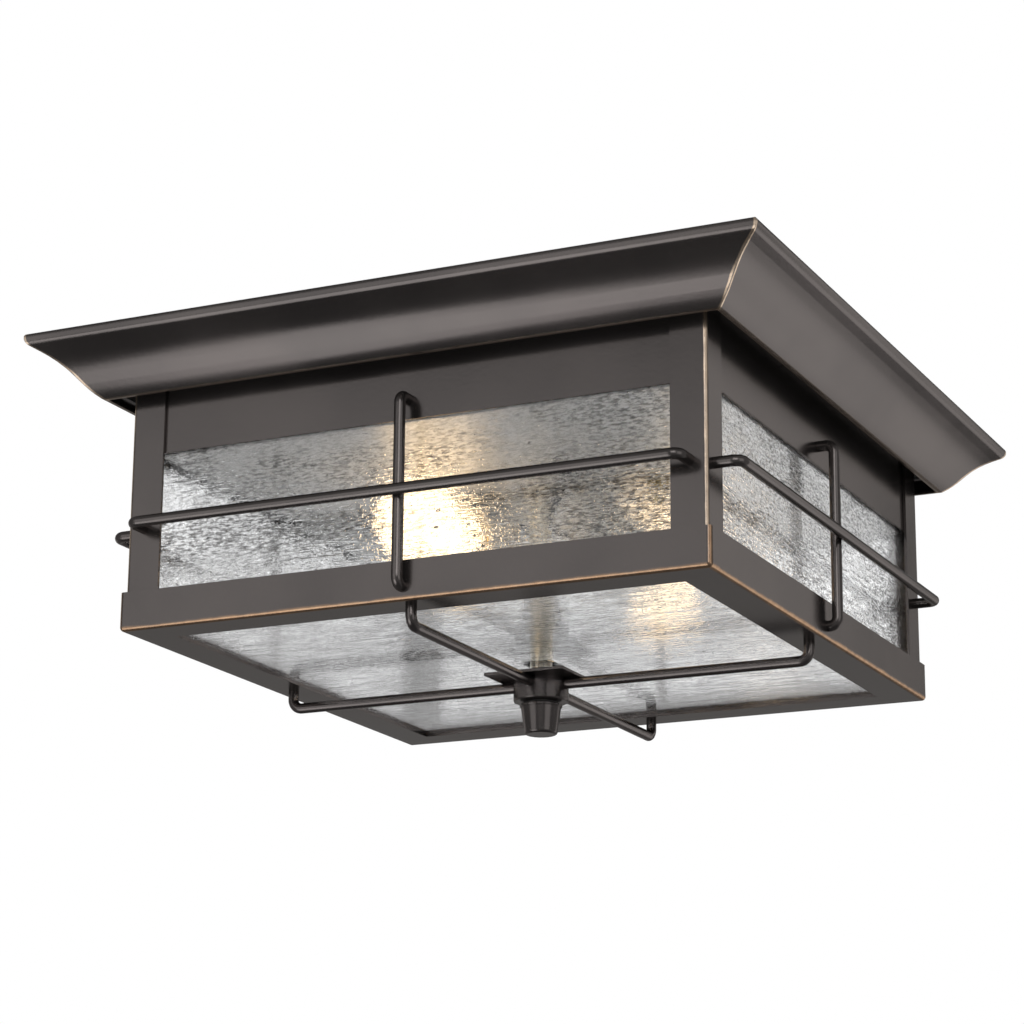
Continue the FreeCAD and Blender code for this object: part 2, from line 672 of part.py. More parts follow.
def hub_cup():
    cup = round_post(CUP_RADIUS, cup_bottom, plate_bottom)
    cup = cup.makeFillet(CUP_EDGE, [e for e in cup.Edges if e.BoundBox.ZMax < cup_bottom + CUP_EDGE])
    room = [round_post(cup_inside, cup_bottom + CUP_FLOOR, plate_bottom)]
    room.append(round_post(nipple_hole, cup_bottom, plate_bottom))
    half = wire_radius + WIRE_FIT
    notch = box(0, CUP_RADIUS, -half, half, arm_level, plate_bottom)
    seat = Part.makeCylinder(half, CUP_RADIUS, Vec(0, 0, arm_level), Vec(1, 0, 0))
    room += [quarter(cut, k) for k in range(4) for cut in (notch, seat)]
    return [cup.cut(room)]


def knob_washer():
    disc = round_post(KNOB_FOOT_RADIUS, washer_top - WASHER, washer_top)
    return [disc.cut(round_post(NIPPLE_RADIUS + NIPPLE_ROOM, washer_top - WASHER, washer_top))]


def finial_knob():
    low = knob_top - KNOB_HEIGHT
    body = Part.makeCone(KNOB_FOOT_RADIUS, KNOB_RADIUS, KNOB_HEIGHT, Vec(0, 0, low))
    body = body.makeFillet(KNOB_ROUND, [e for e in body.Edges if e.BoundBox.ZMax < low + KNOB_ROUND])
    bead = round_post(KNOB_RADIUS + KNOB_BEAD_PROUD, knob_top - KNOB_BEAD, knob_top)
    bead = bead.makeFillet(KNOB_BEAD_ROUND, [e for e in bead.Edges if e.BoundBox.ZLength < KNOB_BEAD_ROUND])
    bore = round_post(NIPPLE_RADIUS + THREAD_FIT, nipple_end - KNOB_END_ROOM, knob_top)
    return [body.fuse(bead).removeSplitter().cut(bore)]


def save(name, solids):
    shape = solids[0] if len(solids) == 1 else Part.makeCompound(solids)
    if not shape.isValid():
        raise ValueError(name + " is not a valid solid")
    shape.exportStep("parts/" + name + ".step")


def save_canopy():
    near_lead = lead(1)
    far_lead = lead(-1)
    save("crown_canopy", [crown_canopy()])
    save("lamp_pan", [lamp_pan()])
    save("mounting_bar", [mounting_bar()])
    save("mounting_studs", mounting_studs())
    save("cap_nuts", cap_nuts())
    save("ground_screw", ground_screw())
    save("centre_nipple", centre_nipple())
    save("nipple_nuts", nipple_nuts())
    save("nipple_washer", nipple_washer())
    save("bracket_rivets", bracket_rivets())
    save("lampholder_screws", lampholder_screws())
    save("centre_contacts", pair(centre_contact()))
    save("lead_bushings", lead_bushings())
    save("white_leads", [near_lead, quarter(far_lead, 2)])
    save("black_leads", [quarter(near_lead, 2), far_lead])
    save("wire_connectors", wire_connectors())
    for make in (lampholder, screw_shell, lampholder_bracket):
        for letter, shape in zip("ab", pair(make())):
            save(make.__name__ + "_" + letter, [shape])


def save_bulbs():
    for make in (bulb_tip, bulb_base, bulb_globe):
        for letter, shape in zip("ab", pair(make())):
            save(make.__name__.replace("bulb", "bulb_" + letter), [shape])


def save_cage():
    for make in (top_rail, side_glass, guard_bar, guard_upright, guard_arm):
        for k, side in enumerate(SIDES):
            save(make.__name__ + "_" + side, [quarter(make(), k)])
    for k, corner in enumerate(CORNERS):
        save("corner_post_" + corner, [quarter(corner_post(), k)])
    save("bottom_tray", [bottom_tray()])
    save("bottom_glass", [bottom_glass()])
    save("glass_clips", glass_clips())
    save("hub_plate", hub_plate())
    save("hub_cup", hub_cup())
    save("knob_washer", knob_washer())
    save("finial_knob", finial_knob())


os.makedirs("parts", exist_ok=True)
save_canopy()
save_bulbs()
save_cage()
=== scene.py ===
import json
import math
import random

import bmesh
import bpy
from mathutils import Matrix, Vector, noise


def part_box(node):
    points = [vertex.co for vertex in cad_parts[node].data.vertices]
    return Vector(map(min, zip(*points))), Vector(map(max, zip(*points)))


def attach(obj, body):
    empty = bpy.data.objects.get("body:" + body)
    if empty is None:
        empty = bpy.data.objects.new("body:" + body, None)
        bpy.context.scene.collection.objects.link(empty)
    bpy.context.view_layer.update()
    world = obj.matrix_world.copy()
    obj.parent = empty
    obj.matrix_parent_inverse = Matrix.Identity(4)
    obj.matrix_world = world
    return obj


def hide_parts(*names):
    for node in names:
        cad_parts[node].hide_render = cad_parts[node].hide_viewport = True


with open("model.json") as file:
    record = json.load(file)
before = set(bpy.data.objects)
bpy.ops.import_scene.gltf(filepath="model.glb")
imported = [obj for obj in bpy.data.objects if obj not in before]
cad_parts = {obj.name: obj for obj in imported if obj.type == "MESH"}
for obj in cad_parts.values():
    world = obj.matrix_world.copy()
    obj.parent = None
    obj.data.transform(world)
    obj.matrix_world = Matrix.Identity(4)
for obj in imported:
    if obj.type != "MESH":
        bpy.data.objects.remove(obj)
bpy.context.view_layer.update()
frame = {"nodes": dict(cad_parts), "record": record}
nodes = frame["nodes"]
scene = bpy.context.scene
MM = 0.001


def colour(red, green, blue):
    return (red, green, blue, 1.0)


# Camera, placed by the corners of the canopy, posts, tray and windows in the photograph
CAMERA_AT = Vector((0.5139, -1.1056, -0.3966))
CAMERA_RIGHT = Vector((0.90323, 0.42909, 0.00742))
CAMERA_UP = Vector((0.11007, -0.24832, 0.96240))
CAMERA_BACK = Vector((0.41480, -0.86846, -0.27152))
CAMERA_LENS = 104.41
CAMERA_SENSOR = 36.0

# Studio: how bright it is all round, and between which parts of a direction that changes
BACKDROP = colour(1.0, 1.0, 1.0)
STUDIO_FRONT = 0.22
STUDIO_BACK = 0.31
STUDIO_TURN = (-0.3, 0.7)  # along Y, from front to back
STUDIO_BELOW = 0.35  # share of it that is left underneath
STUDIO_FALL = (-0.76, -0.60)  # along Z, from underneath to the sides
STUDIO_THROUGH_GLASS = 1.22
STUDIO_TO_CAMERA = 1.0

# Soft boxes: place, width and height, power
SOFT_BOXES = {
    "front_left": ((-0.62, -1.30, -0.07), (0.9, 1.0), 2.05),
    "front_right": ((0.55, -1.30, 0.30), (0.8, 0.8), 4.0),
    "below_front": ((-0.52, -0.87, -0.89), (0.8, 0.76), 3.3),
    "back_right": ((0.76, 1.35, 0.22), (0.42, 0.75), 1.10),
    "below_right": ((0.69, 1.35, -0.50), (0.56, 0.70), 1.55),
    "back_left": ((-0.62, 1.30, -0.52), (0.9, 0.5), 0.30),
    "side_right": ((1.36, -0.62, 0.0), (0.9, 1.1), 2.2),
    "side_left": ((-1.36, 0.62, 0.0), (0.9, 1.1), 2.2),
}
SOFT_BOX_AIM = (0.0, 0.0, -0.07)

# Floor, with a light of its own
FLOOR_LEVEL = -2.4
FLOOR_SIZE = 5.0
FLOOR_MIDDLE = (0.0, 0.0, FLOOR_LEVEL)
FLOOR_LIGHT_AT = (0.0, 0.0, -1.0)
FLOOR_LIGHT_SIZE = (3.4, 3.4)
FLOOR_LIGHT_POWER = 26.0

# Bronze: noise is waves to the metre, detail and roughness, and a span is where in it a look changes
BRONZE_CLOUD = (16.0, 3.0)
BRONZE_CLOUD_SPAN = (0.3, 0.7)
BRONZE_DARK = colour(0.112, 0.101, 0.098)
BRONZE_LIGHT = colour(0.142, 0.127, 0.122)
BRONZE_FLECKS = (1500.0, 2.0)
BRONZE_FLECK_SPAN = (0.55, 0.85)
BRONZE_FLECK = colour(0.19, 0.165, 0.15)
BRONZE_FLECK_SHARE = 0.35
BRONZE_ROUGH_SPAN = (0.25, 0.75)
BRONZE_ROUGH = (0.18, 0.25)
BRONZE_METAL = 0.85
BRONZE_GLANCE = colour(0.45, 0.44, 0.43)
BRONZE_GRAIN = (700.0, 3.0)
BRONZE_GRAIN_DEPTH = 0.02 * MM

# Copper that shows through the bronze where it is rubbed; along the crown's mitres the copper line is
# also a painted highlight
COPPER = (colour(0.27, 0.16, 0.095), colour(0.50, 0.33, 0.21))
PALE_COPPER = (colour(0.42, 0.31, 0.22), colour(0.74, 0.60, 0.47))
COPPER_CLOUD = (260.0,)
RUBBED_NOISE = (55.0, 4.0, 0.65)
RUBBED_RAGGED = 0.55  # share of a line's width by which it wanders
RUBBED_SPAN = (1.0, 0.35)  # shares of the width at which copper starts and covers all
TRAY_EDGE_WIDTH = 2.0 * MM
TRAY_CORNER_WIDTH = 1.7 * MM
POST_WIDTH = 1.6 * MM
MITRE_WEAR_AND_HIGHLIGHT_WIDTH = 0.75 * MM
MITRE_NOISE = (90.0, 3.0)
MITRE_WANDER = 1.4 * MM
LIP_WIDTH = 0.5 * MM
LIP_SHARE = 0.25

# Seeded glass: streaks to the metre along X, Y and Z, depth of its relief, strength of its painted
# shade specks
UPRIGHT_GLASS = ((90.0, 90.0, 700.0), 0.12 * MM, 0.9)
FLAT_GLASS = ((90.0, 700.0, 90.0), 0.04 * MM, 0.35)
GLASS_CLOUD = (9.0,)
GLASS_COOL = colour(0.93, 0.94, 0.95)
GLASS_CLEAR = colour(0.98, 0.98, 0.98)
GLASS_PAINTED_SHADE = colour(0.08, 0.076, 0.072)
GLASS_ROUGH = 0.03
GLASS_INDEX = 1.5
GLASS_PEBBLE = (900.0, 1.0, 0.5)
GLASS_PEBBLE_SPAN = (0.56, 0.85)

# Noise drawn out with the glass: waves that it has anyway, share of the streaks' waves, roughness
DRAWN_DETAIL = 2.0
DRAWN_STREAKS = (0.0, 1.0, 0.6)
DRAWN_STREAK_SPAN = (0.50, 0.80)
# The specks are painted shade: dark marks in the glass's colour for the shade seen through its seeds
DRAWN_SHADE_SPECKS = (180.0, 1.25, 0.6)
DRAWN_SHADE_SPECK_SPAN = (0.46, 0.62)
DRAWN_SHADE_PATCHES = (10.0, 1 / 16, 0.5)
DRAWN_SHADE_PATCH_SPAN = (0.36, 0.62)
DRAWN_SHADE_PATCH_LEAST = 0.25  # share of the specks that is left between patches

# Lit lamps
LAMP_CLOUD = (60.0, 2.0)
LAMP_SHADE = colour(0.88, 0.86, 0.82)
LAMP_WHITE = colour(0.93, 0.92, 0.89)
LAMP_ROUGH_SPAN = (0.2, 0.8)
LAMP_ROUGH = (0.35, 0.5)
LAMP_AMBER = colour(1.0, 0.68, 0.36)
LAMP_WARM = colour(1.0, 0.76, 0.48)
LAMP_GLOW = 2.6

# Plain materials: two colours, blotches to the metre, roughness, metal, depth of grain in millimetres
PLAIN = {
    "pan_plate": ((0.58, 0.58, 0.58), (0.62, 0.62, 0.62), 45.0, 0.34, 0.30, 0.002),
    # Painted light: the centre tube's colour is raised to near-white cream for the lamps' light on the
    # plated steel tube
    "tube_painted_lamplight": ((0.94, 0.90, 0.80), (0.98, 0.95, 0.87), 90.0, 0.30, 0.90, 0.004),
    "zinc_steel": ((0.50, 0.51, 0.52), (0.66, 0.66, 0.65), 160.0, 0.34, 1.0, 0.01),
    "brass": ((0.62, 0.47, 0.23), (0.74, 0.60, 0.34), 120.0, 0.26, 1.0, 0.01),
    "porcelain": ((0.80, 0.78, 0.73), (0.87, 0.86, 0.82), 90.0, 0.18, 0.0, 0.01),
    "bulb_base": ((0.60, 0.60, 0.60), (0.74, 0.73, 0.71), 140.0, 0.28, 1.0, 0.01),
    "bulb_insulator": ((0.015, 0.014, 0.014), (0.04, 0.036, 0.034), 200.0, 0.2, 0.0, 0.01),
    "green_screw": ((0.03, 0.17, 0.06), (0.05, 0.25, 0.09), 240.0, 0.35, 0.6, 0.01),
    "bushing_plastic": ((0.02, 0.02, 0.02), (0.045, 0.045, 0.045), 300.0, 0.45, 0.0, 0.01),
    "white_wire": ((0.72, 0.70, 0.65), (0.82, 0.80, 0.76), 200.0, 0.4, 0.0, 0.01),
    "black_wire": ((0.018, 0.018, 0.019), (0.04, 0.04, 0.042), 200.0, 0.38, 0.0, 0.01),
    "connector_plastic": ((0.72, 0.20, 0.03), (0.82, 0.27, 0.05), 180.0, 0.42, 0.0, 0.01),
    "washer_nylon": ((0.05, 0.05, 0.05), (0.09, 0.088, 0.085), 260.0, 0.5, 0.0, 0.01),
    "floor_paint": ((0.84, 0.84, 0.83), (0.87, 0.87, 0.86), 3.0, 0.7, 0.0, 0.01),
}
PLAIN_CLOUD = (3.0, 0.6)  # detail and roughness of the blotches
PLAIN_CLOUD_SPAN = (0.35, 0.65)
PLAIN_ROUGH_FINER = 3  # waves to each blotch
PLAIN_ROUGH_DETAIL = 2.0
PLAIN_ROUGH_SPAN = (0.3, 0.7)
PLAIN_ROUGH_VARIES = 0.2
PLAIN_GRAIN_FINER = 6
PLAIN_GRAIN_DETAIL = 3.0

# Pieces with a look of their own, by the start of their names
OWN_LOOKS = {
    "crown_canopy": "bronze_crown",
    "corner_post": "bronze_post",
    "bottom_tray": "bronze_tray",
    "side_glass": "glass_upright",
    "bottom_glass": "glass_flat",
}

# Axes of a piece's own three directions, named by where the third one lies
ALONG_X = (1, 2, 0)
ALONG_Y = (2, 0, 1)
ALONG_Z = (0, 1, 2)
ALONG_Y_MIRRORED = (0, 2, 1)

# Panes
PANE_STEP = 1.25 * MM
PANE_EDGE = 0.4 * MM
PANE_HOLE = 5.35 * MM
HOLE_CELLS = 12  # grid cells across the square that is left out round the bottom pane's hole
HOLE_CLEAR = 2  # hole radii that are kept free of seeds
RIPPLE = 0.09 * MM
RIPPLE_MIDDLE = 0.5
WAVE_LENGTH = 17.0 * MM  # along the streaks
WAVE_WIDTH = 4.6 * MM  # across them
WAVE_SHARE = 0.36
CHOP_LENGTH = 6.5 * MM
CHOP_WIDTH = 2.9 * MM
CHOP_SHARE = 0.16
PANE_SHIFT = 31.7  # steps in the noise, so that no two panes, faces or ripples are alike
FACE_SHIFT = 7.3
CHOP_SHIFT = 50.0
SEED_SMALLEST = 0.22 * MM
SEED_LARGEST = 0.55 * MM
SEED_SKEW = 2  # power that makes most of the seeds small
SEED_SPACING = 14.0 * MM
SEED_SPREAD = (0.03, 0.97)  # shares of the pane's length and width
SEED_DEPTH = (0.35, 0.65)  # shares of its thickness
SEED_DRAWN = (1.0, 2.6)  # length for its width
SEED_FLAT = 0.8  # thickness for its width
SEED_SUBDIVISIONS = 2

# Pipe thread of the centre tube
PIPE_PITCH = 25.4 / 27 * MM
PIPE_DEPTH = 0.45 * MM
PIPE_BORE = 3.2 * MM
PIPE_SIDES = 24
PIPE_STEP = PIPE_PITCH / 6

# Rolled thread of the lamp bases
LAMP_PITCH = 3.63 * MM
LAMP_DEPTH = 0.9 * MM
LAMP_BORE = 1.4 * MM  # from a thread's crest to the inside of the base
LAMP_RUN_OUT = LAMP_PITCH / 2  # length over which the thread fades at its ends
LAMP_SIDES = 48
LAMP_STEP = LAMP_PITCH / 12

# Wire connectors
CONNECTOR_LENGTH = 22.0 * MM
CONNECTOR_TIP = 3.2 * MM
CONNECTOR_GRIP = 0.5 * MM
CONNECTOR_GRIP_FADE = 1.05  # the ribs end a little before the tip
CONNECTOR_ROUND = 1.0 * MM
CONNECTOR_ROUND_START = 0.93  # share of the length
CONNECTOR_RIBS = 14
CONNECTOR_SIDES = 56
CONNECTOR_STEP = 1.0 * MM


class Tree:
    """The nodes of a material or of the studio, each made together with its inputs."""

    def __init__(self, tree):
        self.tree = tree

    def node(self, kind, sockets, **settings):
        made = self.tree.nodes.new("ShaderNode" + kind)
        for key, value in settings.items():
            setattr(made, key, value)
        for key, value in sockets.items():
            self.put(made.inputs[key], value)
        return made

    def put(self, socket, value):
        if isinstance(value, bpy.types.NodeSocket):
            self.tree.links.new(value, socket)
        else:
            socket.default_value = value

    def math(self, operation, first, second=0.0, third=0.0):
        return self.node("Math", {0: first, 1: second, 2: third}, operation=operation).outputs[0]

    def ranged(self, value, span, to=(0.0, 1.0)):
        sockets = {0: value, 1: span[0], 2: span[1], 3: to[0], 4: to[1]}
        return self.node("MapRange", sockets, interpolation_type="SMOOTHSTEP").outputs[0]


class Graph(Tree):
    """One material: its noise, blends and bumps, and the surface that they feed."""

    def __init__(self, name):
        self.material = bpy.data.materials.new(name)
        self.material.use_nodes = True
        super().__init__(self.material.node_tree)
        self.shader = self.tree.nodes["Principled BSDF"]
        self.place = self.node("TexCoord", {}).outputs["Object"]
        split = self.node("SeparateXYZ", {"Vector": self.place})
        self.axes = [split.outputs[axis] for axis in "XYZ"]

    def set(self, **sockets):
        for key, value in sockets.items():
            self.put(self.shader.inputs[key.replace("_", " ")], value)

    def noise(self, scale, detail=2.0, rough=0.5, place=None):
        sockets = {"Vector": place or self.place, "Scale": scale, "Detail": detail, "Roughness": rough}
        return self.node("TexNoise", sockets).outputs["Fac"]

    def drawn(self, streak, waves, share, rough):
        """Noise drawn out along a sheet of glass."""
        scale = [waves + share * along for along in streak]
        place = self.node("Mapping", {"Vector": self.place, "Scale": scale}).outputs[0]
        return self.noise(1.0, DRAWN_DETAIL, rough, place)

    def blend(self, share, first, second):
        return self.node("Mix", {0: share, 6: first, 7: second}, data_type="RGBA").outputs[2]

    def bump(self, height, depth, under=None):
        made = self.node("Bump", {"Height": height, "Distance": depth, "Strength": 1.0})
        if under is not None:
            self.put(made.inputs["Normal"], under)
        return made.outputs[0]


# Bronze, rubbed to copper along its worked edges, with a painted highlight in the copper line along
# the crown's mitres
def bronze(name, wear_and_highlight=None, tones=COPPER):
    g = Graph(name)
    cloud = g.noise(*BRONZE_CLOUD)
    fleck = g.ranged(g.noise(*BRONZE_FLECKS), BRONZE_FLECK_SPAN, (0.0, BRONZE_FLECK_SHARE))
    base = g.blend(g.ranged(cloud, BRONZE_CLOUD_SPAN), BRONZE_DARK, BRONZE_LIGHT)
    base = g.blend(fleck, base, BRONZE_FLECK)
    if wear_and_highlight is not None:
        base = g.blend(wear_and_highlight(g), base, g.blend(g.noise(*COPPER_CLOUD), *tones))
    g.set(Base_Color=base, Metallic=BRONZE_METAL, Specular_Tint=BRONZE_GLANCE)
    g.set(Roughness=g.ranged(cloud, BRONZE_ROUGH_SPAN, BRONZE_ROUGH))
    g.set(Normal=g.bump(g.noise(*BRONZE_GRAIN), BRONZE_GRAIN_DEPTH))
    return g.material


def rubbed(g, distance, width):
    """Share of copper that shows at a distance from an edge, ragged along its length."""
    wander = g.math("MULTIPLY_ADD", g.noise(*RUBBED_NOISE), 2 * RUBBED_RAGGED, -RUBBED_RAGGED)
    reach = g.math("MULTIPLY", g.math("ADD", wander, 1.0), width)
    return g.ranged(g.math("DIVIDE", distance, reach), RUBBED_SPAN)


def inset(g, face):
    """How far a point lies inside the faces of a square of that half width, along X and along Y."""
    return [g.math("SUBTRACT", face, g.math("ABSOLUTE", axis)) for axis in g.axes[:2]]


def length(g, first, second):
    squares = g.math("ADD", g.math("MULTIPLY", first, first), g.math("MULTIPLY", second, second))
    return g.math("SQRT", squares)


def tray_wear(g):
    low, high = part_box("bottom_tray")
    across, along = inset(g, high.x)
    rise = g.math("SUBTRACT", g.axes[2], low.z)
    edge = rubbed(g, length(g, g.math("MINIMUM", across, along), rise), TRAY_EDGE_WIDTH)
    corner = rubbed(g, length(g, across, along), TRAY_CORNER_WIDTH)
    return g.math("MAXIMUM", edge, corner)


def post_wear(g):
    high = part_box("corner_post_back_right")[1]
    return rubbed(g, length(g, *inset(g, high.x)), POST_WIDTH)


def crown_wear_and_painted_highlight(g):
    low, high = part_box("crown_canopy")
    across, along = inset(g, high.x)
    off = g.math("ABSOLUTE", g.math("SUBTRACT", across, along))
    # The mitre line is copper wear and also a painted highlight, for the light that a rounded arris
    # would catch
    wander = g.math("SUBTRACT", off, g.math("MULTIPLY", g.noise(*MITRE_NOISE), MITRE_WANDER))
    line = rubbed(g, g.math("ABSOLUTE", wander), MITRE_WEAR_AND_HIGHLIGHT_WIDTH)
    rise = g.math("SUBTRACT", g.axes[2], low.z)
    lip = rubbed(g, g.math("ABSOLUTE", rise), LIP_WIDTH)
    return g.math("MAXIMUM", line, g.math("MULTIPLY", lip, LIP_SHARE))


# Glass, with dark specks of painted shade in patches and a relief drawn out along the sheet
def seeded_glass(name, streak, relief, painted_shade_strength):
    g = Graph(name)
    ridges = g.ranged(g.drawn(streak, *DRAWN_STREAKS), DRAWN_STREAK_SPAN)
    pebble = g.ranged(g.noise(*GLASS_PEBBLE), GLASS_PEBBLE_SPAN)
    painted_shade_specks = g.ranged(g.drawn(streak, *DRAWN_SHADE_SPECKS), DRAWN_SHADE_SPECK_SPAN, (0.0, painted_shade_strength))
    shade_patches = g.ranged(g.drawn(streak, *DRAWN_SHADE_PATCHES), DRAWN_SHADE_PATCH_SPAN, (DRAWN_SHADE_PATCH_LEAST, 1.0))
    tint = g.blend(g.noise(*GLASS_CLOUD), GLASS_COOL, GLASS_CLEAR)
    # Painted shade: the dark specks stand in for the shade seen through the seeds and ripples
    tint = g.blend(g.math("MULTIPLY", painted_shade_specks, shade_patches), tint, GLASS_PAINTED_SHADE)
    g.set(Base_Color=tint, Roughness=GLASS_ROUGH, IOR=GLASS_INDEX, Transmission_Weight=1.0)
    g.set(Normal=g.bump(pebble, relief, g.bump(ridges, relief)))
    return g.material


def lit_globe(name):
    g = Graph(name)
    cloud = g.noise(*LAMP_CLOUD)
    g.set(Base_Color=g.blend(cloud, LAMP_SHADE, LAMP_WHITE))
    g.set(Roughness=g.ranged(cloud, LAMP_ROUGH_SPAN, LAMP_ROUGH))
    g.set(Emission_Color=g.blend(cloud, LAMP_AMBER, LAMP_WARM), Emission_Strength=LAMP_GLOW)
    return g.material


def plain(name, first, second, scale, rough, metal, grain):
    g = Graph(name)
    share = g.ranged(g.noise(scale, *PLAIN_CLOUD), PLAIN_CLOUD_SPAN)
    g.set(Base_Color=g.blend(share, colour(*first), colour(*second)), Metallic=metal)
    polish = g.noise(scale * PLAIN_ROUGH_FINER, PLAIN_ROUGH_DETAIL)
    limits = (rough * (1 - PLAIN_ROUGH_VARIES), rough * (1 + PLAIN_ROUGH_VARIES))
    g.set(Roughness=g.ranged(polish, PLAIN_ROUGH_SPAN, limits))
    g.set(Normal=g.bump(g.noise(scale * PLAIN_GRAIN_FINER, PLAIN_GRAIN_DETAIL), grain * MM))
    return g.material


def make_materials():
    made = {name: plain(name, *look) for name, look in PLAIN.items()}
    made["bronze"] = bronze("bronze")
    made["bronze_tray"] = bronze("bronze_tray", tray_wear)
    made["bronze_post"] = bronze("bronze_post", post_wear, PALE_COPPER)
    made["bronze_crown"] = bronze("bronze_crown", crown_wear_and_painted_highlight, PALE_COPPER)
    made["glass_upright"] = seeded_glass("seeded_glass_upright", *UPRIGHT_GLASS)
    made["glass_flat"] = seeded_glass("seeded_glass_flat", *FLAT_GLASS)
    made["bulb_glass"] = lit_globe("bulb_glass")
    return made


def coat(obj, material):
    obj.data.materials.clear()
    obj.data.materials.append(material)


def slot_of(node):
    return next(row["material_slot"] for row in frame["record"]["subparts"] if row["node"] == node)


def look_of(node):
    own = [look for start, look in OWN_LOOKS.items() if node.startswith(start)]
    return own[0] if own else slot_of(node)


def coat_nodes(materials):
    for node, obj in nodes.items():
        coat(obj, materials[look_of(node)])


# Pieces with a ripple, a thread or ribs, each in the place of a plain solid
class Shell:
    """Points and faces of one closed piece. Its axes say where its own three directions lie."""

    def __init__(self, axes=ALONG_Z):
        self.axes = axes
        self.mirrored = axes == ALONG_Y_MIRRORED
        self.points = []
        self.faces = []
        self.soft = []

    def point(self, *values):
        place = [0.0, 0.0, 0.0]
        for axis, value in zip(self.axes, values):
            place[axis] = value
        self.points.append(place)
        return len(self.points) - 1

    def face(self, corners, soft=False):
        self.faces.append(corners[::-1] if self.mirrored else corners)
        self.soft.append(soft)

    def wall(self, first, second, soft=False):
        """Faces between two rings of points."""
        for k in range(len(first)):
            after = (k + 1) % len(first)
            self.face([first[k], first[after], second[after], second[k]], soft)

    def place(self, name, material, body, slot, stands_for):
        data = bpy.data.meshes.new(name)
        data.from_pydata(self.points, [], self.faces)
        data.polygons.foreach_set("use_smooth", self.soft)
        piece = bpy.data.objects.new(name, data)
        scene.collection.objects.link(piece)
        coat(piece, material)
        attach(piece, body)
        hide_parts(stands_for)


def unit_ball():
    ball = bmesh.new()
    bmesh.ops.create_icosphere(ball, subdivisions=SEED_SUBDIVISIONS, radius=1.0)
    ball.verts.ensure_lookup_table()
    points = [vert.co.copy() for vert in ball.verts]
    faces = [[vert.index for vert in face.verts] for face in ball.faces]
    ball.free()
    return points, faces


UNIT_BALL = unit_ball()


